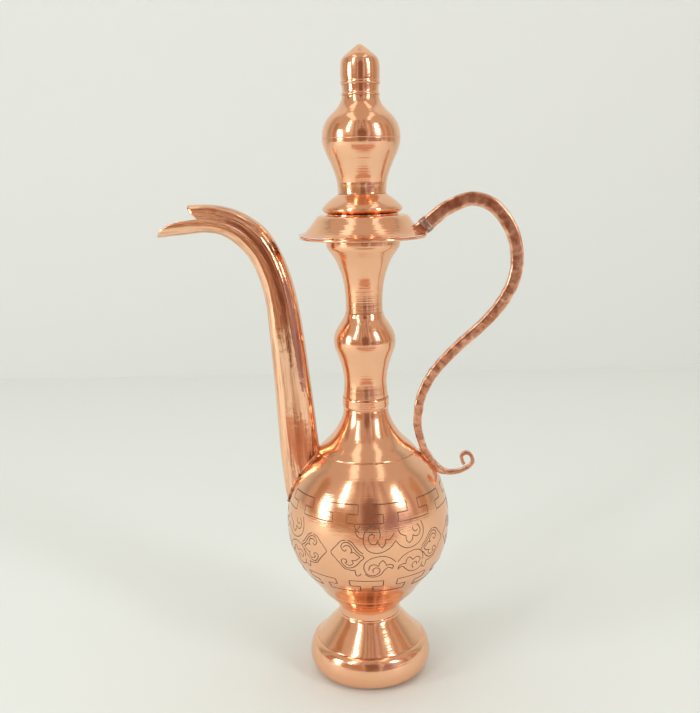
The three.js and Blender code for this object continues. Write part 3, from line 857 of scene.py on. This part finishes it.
def hammer_marks(length, seed):
    """Hammer blows along one face of the bar, light over the arch and heavier down the limb."""
    rng = random.Random(seed)
    marks = []
    at = 3.0
    while at < length:
        weight = min(1.0, max(0.2, (at - 55) / 55))
        marks.append((at, rng.uniform(2.2, 4.2), rng.uniform(0.10, 0.36) * weight, rng.uniform(-0.5, 0.5)))
        at += rng.uniform(3.2, 7.0)
    return marks


def bar():
    """The forged bar with its hammer marks. Hands over its middle line, its side and its places."""
    step = 0.45
    places = np.arange(0, len(BAR_LINE) - 1, 0.01)
    fine = sample_line(BAR_LINE, places)
    run = np.concatenate([[0], np.cumsum(np.linalg.norm(np.diff(fine, axis=0), axis=1))])
    length = run[-1]
    at = np.linspace(0, length, int(length / step))
    place = np.interp(at, run, places)
    middle = np.stack([np.interp(at, run, fine[:, axis]) for axis in (0, 1)], axis=1)
    along = np.gradient(middle, axis=0)
    along /= np.linalg.norm(along, axis=1)[:, None]
    side = np.stack([along[:, 1], -along[:, 0]], axis=1)
    faces_marks = [hammer_marks(length, seed) for seed in (41, 42, 43, 44)]
    rows = []
    for i, s in enumerate(at):
        thick, cross = bar_thickness(place[i])
        fade = min(1.0, thick / 4.5)
        for j in range(BAR_AROUND):
            u, v = superellipse(TURN * j / BAR_AROUND, 5.0)
            dent = 0.0
            face = 0 if u > 0.9 else 1 if v > 0.9 else 2 if u < -0.9 else 3 if v < -0.9 else None
            if face is not None:
                cross_place = v if face in (0, 2) else u
                for mark, half, depth, slant in faces_marks[face]:
                    away = (s - mark - slant * cross_place * 1.6) / half
                    if abs(away) < 1:
                        dent = max(dent, depth * (1 - away * away))
            dent *= fade
            edge = 0.10 * (wander((s, u * 2, v * 2), 3.0, 47) - 0.9) * fade
            out = (thick / 2) * u * (1 - dent / (thick / 2)) + edge * u
            depth_out = (cross / 2) * v * (1 - dent / (cross / 2)) + edge * v
            rows.append((middle[i, 0] + side[i, 0] * out, depth_out, middle[i, 1] + side[i, 1] * out))
    piece = mesh_piece("handle_bar_forged", rows, capped_faces(len(at), BAR_AROUND), BAR)
    settle(piece, "ewer", "bar_copper", "handle_bar")
    return middle, side, place


bar_middle, bar_side, bar_place = bar()


def joint_solder(name, node, first, last, offset, size, material, slot, seed, rings=0):
    """Solder along a stretch of the bar, between two points of its line.

    The offset is towards what it is joined to, in half thicknesses. The size is a share of the
    thickness, and how far the solder swells in-plane and across.
    """
    inside = (bar_place >= first) & (bar_place <= last)
    middle, side, place = bar_middle[inside], bar_side[inside], bar_place[inside]
    around, count = 28, len(middle)
    rows = []
    for i in range(count):
        thick, cross = bar_thickness(place[i])
        share = min(max(i / (count - 1), 0.02), 0.98)
        swell = math.sin(math.pi * share) ** 0.5
        if rings:
            swell *= 0.15 + 0.85 * abs(math.sin(math.pi * rings * share))
        for j in range(around):
            turn = TURN * j / around
            u, v = math.cos(turn), math.sin(turn)
            across, up = superellipse(turn, 4.0)
            lump = 1 + 0.35 * wander((place[i] * 9, u * 4, v * 4), 2.4, seed)
            half = size[0] * thick / 2 + size[1] * swell * lump
            out = offset * thick / 2 + half * across
            deep = (cross / 2 + size[2] * swell * lump) * up
            rows.append((middle[i, 0] + side[i, 0] * out, deep, middle[i, 1] + side[i, 1] * out))
    piece = mesh_piece(name, rows, capped_faces(count, around), material)
    settle(piece, "ewer", slot, node)


joint_solder(
    "handle_top_solder_bead", "handle_top_solder", first=0.35, last=0.95, offset=0, size=(1, 0.35, 0.4),
    material=GREY_SOLDER, slot="grey_solder", seed=51, rings=3,
)
joint_solder(
    "handle_belly_solder_bead", "handle_belly_solder", first=14.9, last=18.2, offset=0.95,
    size=(0, 0.7, -0.3), material=SEAM_SOLDER, slot="dark_solder", seed=52,
)


# ---- Engraving -----------------------------------------------------------------------------------
# Strokes in millimetres on the belly: across, and up from the band's middle line.
CARTOUCHE = [
    [(-0.5, 7.3), (-3.0, 6.6), (-5.5, 4.0), (-7.5, 2.0), (-8.6, 0.6), (-8.4, -0.6), (-6.5, -2.5),
     (-4.0, -5.2), (-1.8, -7.6), (0.8, -8.4), (4.0, -8.5)],
    [(-0.2, 2.7), (-1.0, 1.6), (-2.3, 2.4), (-3.0, 4.0), (-2.0, 5.6), (0, 6.2), (2.3, 5.1), (4.5, 2.4),
     (6.6, 0.3), (8.3, -0.5), (8.6, -1.6), (6.8, -3.2), (5, -5.3), (2.5, -6.9), (-0.5, -7.1), (-2.5, -5.3),
     (-3.2, -3.5), (-2.0, -2.5), (-0.2, -3.2), (-0.5, -4.5)],
    [(-1.9, 3.6), (-0.4, 4.6), (1.8, 4.0), (2.6, 2.0), (1.9, 0.9)],
    [(1.9, 0.9), (3.6, 1.3), (5.2, 0), (6.7, -1.0)],
    [(6.7, -1.0), (5.0, -2.5), (3.5, -3.0), (2.4, -2.9)],
    [(2.4, -2.9), (3.1, -4.5), (1.5, -5.7), (-0.3, -5.4), (-1.3, -4.2)],
    [(0.5, 7.4), (2.6, 6.4), (4.6, 4.2), (6.6, 1.9), (8.4, 0.7)],
    [(4.0, -8.5), (3.9, -9.8), (4.6, -11.6), (5.8, -11.5), (6.9, -10.4)],
]
LOBES = [
    [(0, 6.4), (-2.4, 3.6), (-5.8, 1.6), (-9.3, 0.9), (-13.2, 1.8), (-15.7, 4.4), (-16.4, 7.6), (-15.7, 11.3),
     (-13.7, 13.4), (-11.3, 14.2), (-8.8, 13.0), (-7.8, 10.3), (-8.2, 8.2)],
    [(-9.1, 7.1), (-10.3, 5.5), (-12.2, 5.5), (-13.7, 7.1), (-13.7, 9.2), (-12.2, 10.5),
     (-10.8, 9.7), (-11.3, 8.4)],
    [(-9.1, 7.4), (-8.8, 5.5), (-7.0, 3.4)],
    [(-7.0, 3.4), (-5.4, 5.5), (-5.1, 7.6)],
    [(-5.1, 7.6), (-3.4, 7.3), (-1.5, 8.9), (-0.5, 10.2)],
    [(0.2, -4.6), (-2.4, -2.4), (-5.9, -1.0), (-9.3, -1.0), (-13.7, -2.4), (-16.2, -5.1), (-16.2, -8.3),
     (-14.2, -10.9), (-10.8, -11.3), (-8.3, -9.6), (-8.3, -7.7), (-10.3, -6.9), (-11.8, -8.0),
     (-11.5, -9.6)],
    [(-13.9, -8.3), (-13.5, -6.2), (-11.8, -5.2), (-9.8, -5.6), (-8.8, -6.3)],
    [(-8.8, -6.3), (-8.3, -4.5), (-6.6, -3.0)],
    [(-6.6, -3.0), (-5.1, -5.0), (-4.7, -6.1)],
    [(-4.7, -6.1), (-3.0, -5.6), (-1.0, -6.6), (-1.5, -8.2)],
    [(-1.5, -8.2), (-3.4, -7.2), (-5.4, -8.2), (-7.4, -10.9), (-10.3, -12.2), (-13.7, -12.0), (-16.0, -10.6)],
    [(0, 6.4), (2.3, 3.8), (5.8, 1.8), (9.9, 1.7), (13.9, 3.4), (16.2, 6.1), (16.8, 9.7), (15.7, 13.4)],
    [(5.8, 7.9), (6.2, 5.4), (7.9, 3.9)],
    [(7.9, 3.9), (9.6, 5.6), (9.9, 7.5)],
    [(9.9, 7.5), (12.2, 6.6), (14.2, 7.6), (14.5, 10.2), (13.0, 12.3)],
    [(9.9, 11.5), (10.4, 9.8), (12.0, 9.0), (13.0, 9.9)],
    [(1.7, 11.8), (2.6, 9.6), (4.1, 8.6), (5.8, 7.9)],
    [(1.2, -5.0), (4.1, -2.3), (7.5, -0.8), (11.6, -0.3), (15.1, -1.7), (16.8, -4.6), (16.5, -7.2)],
    [(2.0, -9.3), (1.7, -8.0), (4.1, -6.6), (6.1, -6.7)],
    [(6.1, -6.7), (6.4, -4.5), (8.1, -3.6), (10.2, -5.5)],
    [(10.2, -5.5), (11.6, -4.7), (13.3, -4.5), (15.0, -5.9), (13.9, -8.3)],
    [(11.0, -10.2), (9.9, -8.7), (10.7, -7.2), (12.4, -7.1), (13.1, -8.7)],
    [(2.0, -8.6), (4.1, -7.9), (6.4, -9.9), (9.3, -11.7), (13.3, -11.9), (15.7, -10.9), (16.8, -8.3)],
    [(-21.2, 14.8), (-20.4, 13.0), (-18.9, 13.0), (-18.2, 14.4)],
    [(-20.4, 13.0), (-20.2, 10.8), (-18.6, 8.8), (-16.6, 8.2)],
    [(-21.0, 11.4), (-19.6, 12.0), (-18.5, 11.0)],
]
BAND_MIDDLE = 81.0
DEGREES_PER_MM = 360 / (TURN * 42.0)
FRET_START = -2.0
FRET_STEM, FRET_ARM, FRET_PITCH = 4.9, 12.7, 36.0  # degrees round the belly
FRET_LOW = (58.4, 62.3, 66.0)
FRET_HIGH = (104.8, 100.4, 96.2)
LINE_WIDTH = 1.0
SUNK = -0.44  # the line's round bar lies almost wholly in the sheet
FRET_SUNK = -0.452  # the key border is cut a little finer


def fret(levels):
    """One key of the border: stem up from the border line, arms, top, and back. Angles and heights."""
    edge, arm, far = levels
    half = FRET_PITCH / 2
    return [
        (-half, edge), (-FRET_STEM, edge), (-FRET_STEM, arm), (-FRET_ARM, arm), (-FRET_ARM, far),
        (FRET_ARM, far), (FRET_ARM, arm), (FRET_STEM, arm), (FRET_STEM, edge), (half, edge),
    ]


def laid_on_belly(angles_heights, lift):
    """Places on the belly for angles and heights."""
    return [belly_point(angle, height, lift) for angle, height in angles_heights]


def fine_line(corners, step=0.8):
    """Straight runs on the belly, cut small enough to follow it."""
    line = []
    for (a0, h0), (a1, h1) in zip(corners, corners[1:]):
        count = max(1, int(math.hypot((a1 - a0) * 0.7, h1 - h0) / step))
        for i in range(count):
            line.append((a0 + (a1 - a0) * i / count, h0 + (h1 - h0) * i / count))
    line.append(corners[-1])
    return line


def stroke_mesh(name, strokes):
    """Strokes as loose edges, for the engraving tree to draw along."""
    corners, edges = [], []
    for stroke in strokes:
        first = len(corners)
        corners += [tuple(c * MM for c in place) for place in stroke]
        edges += [(first + i, first + i + 1) for i in range(len(stroke) - 1)]
    mesh = bpy.data.meshes.new(name)
    mesh.from_pydata(corners, edges, [])
    made = bpy.data.objects.new(name, mesh)
    bpy.context.scene.collection.objects.link(made)
    return made


def engraving_tree():
    """Draws a round line along edges."""
    tree = bpy.data.node_groups.new("engraved_band", "GeometryNodeTree")
    face = tree.interface
    face.new_socket("Strokes", in_out="INPUT", socket_type="NodeSocketGeometry")
    width = face.new_socket("Line width", in_out="INPUT", socket_type="NodeSocketFloat")
    face.new_socket("Lines", in_out="OUTPUT", socket_type="NodeSocketGeometry")
    nodes, links = tree.nodes, tree.links

    def add(kind, **settings):
        made = nodes.new(kind)
        for key, value in settings.items():
            setattr(made, key, value)
        return made

    given = add("NodeGroupInput")
    curve = add("GeometryNodeMeshToCurve")
    ring = add("GeometryNodeCurvePrimitiveCircle")
    ring.inputs["Resolution"].default_value = 12
    halve = add("ShaderNodeMath", operation="MULTIPLY")
    halve.inputs[1].default_value = 0.5
    drawn = add("GeometryNodeCurveToMesh")
    drawn.inputs["Fill Caps"].default_value = True
    real = add("GeometryNodeRealizeInstances")
    soft = add("GeometryNodeSetShadeSmooth")
    dressed = add("GeometryNodeSetMaterial")
    dressed.inputs["Material"].default_value = PATINA_LINE
    out = add("NodeGroupOutput")
    links.new(given.outputs["Strokes"], curve.inputs["Mesh"])
    links.new(given.outputs["Line width"], halve.inputs[0])
    links.new(halve.outputs[0], ring.inputs["Radius"])
    links.new(curve.outputs["Curve"], drawn.inputs["Curve"])
    links.new(ring.outputs["Curve"], drawn.inputs["Profile Curve"])
    links.new(drawn.outputs["Mesh"], real.inputs["Geometry"])
    links.new(real.outputs["Geometry"], soft.inputs["Geometry"])
    links.new(soft.outputs["Geometry"], dressed.inputs["Geometry"])
    links.new(dressed.outputs["Geometry"], out.inputs["Lines"])
    return tree, width.identifier


ENGRAVING, WIDTH_ID = engraving_tree()


def engrave(name, strokes, width):
    """Engraved lines as a plain mesh."""
    drawn = stroke_mesh(name + "_strokes", strokes)
    modifier = drawn.modifiers.new("engraving", "NODES")
    modifier.node_group = ENGRAVING
    modifier[WIDTH_ID] = width * MM
    shape = bpy.data.meshes.new_from_object(drawn.evaluated_get(bpy.context.evaluated_depsgraph_get()))
    drawn.modifiers.clear()
    bpy.data.objects.remove(drawn)
    shape.name = name
    piece = bpy.data.objects.new(name, shape)
    bpy.context.scene.collection.objects.link(piece)
    return settle(piece, "ewer", "dark_solder")


def ornament(strokes, angle, squeeze=0.96):
    """An ornament drawn four times round the belly, from an angle. A negative squeeze mirrors it."""
    laid = []
    for quarter in range(4):
        middle = angle + quarter * 90
        for stroke in strokes:
            line = smooth_line(stroke, 0.5)
            places = [(middle + x * DEGREES_PER_MM * squeeze, BAND_MIDDLE + z) for x, z in line]
            laid.append(laid_on_belly(places, SUNK))
    return laid


def border(levels):
    """The key border, ten keys round."""
    keys = []
    for number in range(10):
        start = FRET_START + number * FRET_PITCH
        keys.append(laid_on_belly([(start + a, h) for a, h in fine_line(fret(levels))], FRET_SUNK))
    return keys


arabesque = ornament(CARTOUCHE, -14.5) + ornament(CARTOUCHE, 49.3, -0.96) + ornament(LOBES, 18.2)
engrave("belly_arabesque", arabesque, LINE_WIDTH)
engrave("belly_lower_fret", border(FRET_LOW), LINE_WIDTH)
engrave("belly_upper_fret", border(FRET_HIGH), LINE_WIDTH)


# ---- Stage ---------------------------------------------------------------------------------------
def stage_material(name, colour, second=None, scale=1.5):
    """Paint or cloth with soft clouds of a second colour, which is nearly the same when none is given."""
    bench = Bench(name)
    cloud = bench.node("ShaderNodeTexNoise", {}, bench.place, out="Fac", Scale=scale)
    if second:
        cloud = ((cloud - 0.42) * 6).held()
    shade = bench.blend(cloud, second or tuple(c * 0.97 for c in colour), colour)
    return bench.finish(Base_Color=shade, Roughness=0.75)


def stage_sheet(name, corners, material, seen=True):
    """A flat sheet of the stage. One that is not seen shows only as a reflection in the copper."""
    piece = mesh_piece(name, np.array(corners) / MM, [tuple(range(len(corners)))], material)
    for sight in ("visible_camera", "visible_diffuse", "visible_shadow", "visible_transmission"):
        setattr(piece, sight, seen)


def level_sheet(front, back, height):
    """Corners of a level sheet as wide as the stage, from front to back."""
    return [(-SIDE, front, height), (SIDE, front, height), (SIDE, back, height), (-SIDE, back, height)]


SIDE = 3.0
TABLE_BACK = 0.70
TABLE_TOP = -0.0002  # just under the foot
WALL_LOW, WALL_HIGH = -0.01, 2.6
WALL = [
    (-SIDE, TABLE_BACK, WALL_LOW), (SIDE, TABLE_BACK, WALL_LOW), (SIDE, TABLE_BACK, WALL_HIGH),
    (-SIDE, TABLE_BACK, WALL_HIGH),
]
TILES = stage_material("floor_tiles", (0.70, 0.64, 0.58), (0.36, 0.22, 0.16), 2.2)
TABLE_PAINT = stage_material("table_paint", (0.675, 0.722, 0.702))
stage_sheet("table", level_sheet(-SIDE, TABLE_BACK, TABLE_TOP), TABLE_PAINT)
stage_sheet("wall", WALL, stage_material("wall_paint", (0.68, 0.725, 0.72)))
stage_sheet("floor", level_sheet(-SIDE, -1.1, 0.001), TILES, seen=False)
# A dark sheet, called cloth, lying on the table in front of the object and seen only in the copper: it makes
# the copper mirror a dark stretch of table there.
DARK_FRONT_SHEET = [
    (-0.26, -0.50, 0.002), (0.05, -0.53, 0.002), (0.34, -0.47, 0.002), (0.36, -0.35, 0.002),
    (0.14, -0.28, 0.002), (-0.08, -0.31, 0.002), (-0.25, -0.37, 0.002),
]
stage_sheet("cloth", DARK_FRONT_SHEET, stage_material("cloth", (0.48, 0.27, 0.19)), seen=False)


def stage_shape(name, outline, place, material):
    """A standing shape behind the camera, turned to the object. Its outline is in [across, up]."""
    away = Vector((place[0], place[1], 0)).normalized()
    side = Vector((-away.y, away.x, 0))
    line = smooth_line([*outline, outline[0]], 0.05)[:-1]
    corners = [(place[0] + side.x * x, place[1] + side.y * x, z) for x, z in line]
    stage_sheet(name, corners, material, seen=False)


FIGURE = [
    (-0.16, 0), (-0.20, 0.35), (-0.24, 0.62), (-0.13, 0.72), (-0.07, 0.86), (0.02, 0.94), (0.10, 0.84),
    (0.14, 0.72), (0.25, 0.60), (0.22, 0.33), (0.17, 0),
]
stage_shape("figure", FIGURE, (0.04, -0.95), stage_material("figure_cloth", (0.26, 0.13, 0.10)))
HEAP = [(-0.34, 0), (-0.30, 0.20), (-0.18, 0.36), (0.0, 0.30), (0.14, 0.42), (0.30, 0.26), (0.36, 0)]
stage_shape("plum_cloth", HEAP, (0.62, -0.72), stage_material("plum_cloth", (0.34, 0.20, 0.23)))
stage_shape("brown_cloth", HEAP, (-0.52, -0.80), stage_material("brown_cloth", (0.50, 0.31, 0.20)))
# Tall strips round the object: degrees from behind the camera towards the handle, width and height
# in metres, paint.
STRIP_DISTANCE = 1.25
STRIPS = [
    (-84, 0.30, 1.2, (0.42, 0.24, 0.14)),
    (-30, 0.09, 2.1, (0.80, 0.72, 0.64)),
    (-21, 0.05, 2.2, (0.34, 0.17, 0.12)),
    (-9, 0.07, 2.3, (0.42, 0.22, 0.18)),
    (2, 0.05, 1.9, (0.38, 0.19, 0.15)),
    (13, 0.10, 2.4, (0.40, 0.22, 0.24)),
    (23, 0.05, 1.4, (0.85, 0.76, 0.66)),
    (31, 0.08, 2.1, (0.38, 0.20, 0.17)),
    (68, 0.12, 1.3, (0.44, 0.24, 0.16)),
    (88, 0.30, 1.0, (0.50, 0.32, 0.22)),
]
for number, (around, wide, tall, paint) in enumerate(STRIPS):
    turn = math.radians(around)
    spot = (STRIP_DISTANCE * math.sin(turn), -STRIP_DISTANCE * math.cos(turn))
    strip = [
        (-wide / 2, 0.02), (-wide / 2.2, tall / 2), (-wide / 2, tall), (wide / 2, tall),
        (wide / 1.9, tall / 2), (wide / 2, 0.02),
    ]
    stage_shape(f"strip_{number}", strip, spot, stage_material(f"strip_paint_{number}", paint))


def area_light(name, place, towards, size, power, colour=(1, 1, 1), mirrored=True):
    """A rectangular light. One that is not mirrored does not show in the copper."""
    light = bpy.data.lights.new(name, "AREA")
    light.shape = "RECTANGLE"
    light.size, light.size_y = size
    light.energy = power
    light.color = colour
    made = bpy.data.objects.new(name, light)
    made.visible_glossy = mirrored
    made.location = place
    made.rotation_mode = "QUATERNION"
    made.rotation_quaternion = (Vector(towards) - Vector(place)).to_track_quat("-Z", "Y")
    bpy.context.scene.collection.objects.link(made)


area_light("left_window", (-1.18, -0.58, 0.42), (0, 0, 0.15), (0.30, 0.6), 6)
area_light("left_strip", (-0.85, -1.00, 1.10), (0, 0, 0.2), (0.14, 0.9), 4)
area_light("right_window", (1.10, -0.90, 0.65), (0, 0, 0.2), (0.22, 1.2), 8)
area_light("ceiling", (0, 0.1, 2.2), (0, 0.1, 0), (2.4, 1.2), 15, (0.93, 0.97, 1.0), mirrored=False)
area_light("roof_left", (-0.60, -0.3, 2.0), (-0.60, -0.3, 0), (0.40, 1.3), 1.35)
area_light("roof_right", (0.65, -0.3, 2.0), (0.65, -0.3, 0), (0.30, 1.3), 1.0)

world = bpy.data.worlds.new("room")
bpy.context.scene.world = world
world.use_nodes = True
room = world.node_tree.nodes["Background"]
room.inputs["Color"].default_value = (0.60, 0.49, 0.40, 1)
room.inputs["Strength"].default_value = 1.02
bpy.context.scene.view_settings.view_transform = "Standard"


# ---- Camera --------------------------------------------------------------------------------------
SENSOR, LENS = 36.0, 44.93  # millimetres
CAMERA_PLACE = (0, -0.440, 0.2628)
CAMERA_TURN = (0.99, 11.93, -1.23)  # degrees to the left, down, and roll


def camera():
    """The camera in front of the object, a little above its middle and looking down."""
    made = bpy.data.objects.new("camera", bpy.data.cameras.new("camera"))
    made.data.sensor_width = SENSOR
    made.data.lens = LENS
    made.data.clip_start = 0.01
    yaw, pitch, roll = (math.radians(a) for a in CAMERA_TURN)
    ahead = Vector((-math.sin(yaw) * math.cos(pitch), math.cos(yaw) * math.cos(pitch), -math.sin(pitch)))
    made.location = CAMERA_PLACE
    made.rotation_mode = "QUATERNION"
    made.rotation_quaternion = ahead.to_track_quat("-Z", "Y") @ Quaternion((0, 0, 1), roll)
    bpy.context.scene.collection.objects.link(made)
    bpy.context.scene.camera = made


camera()

bpy.context.view_layer.update()
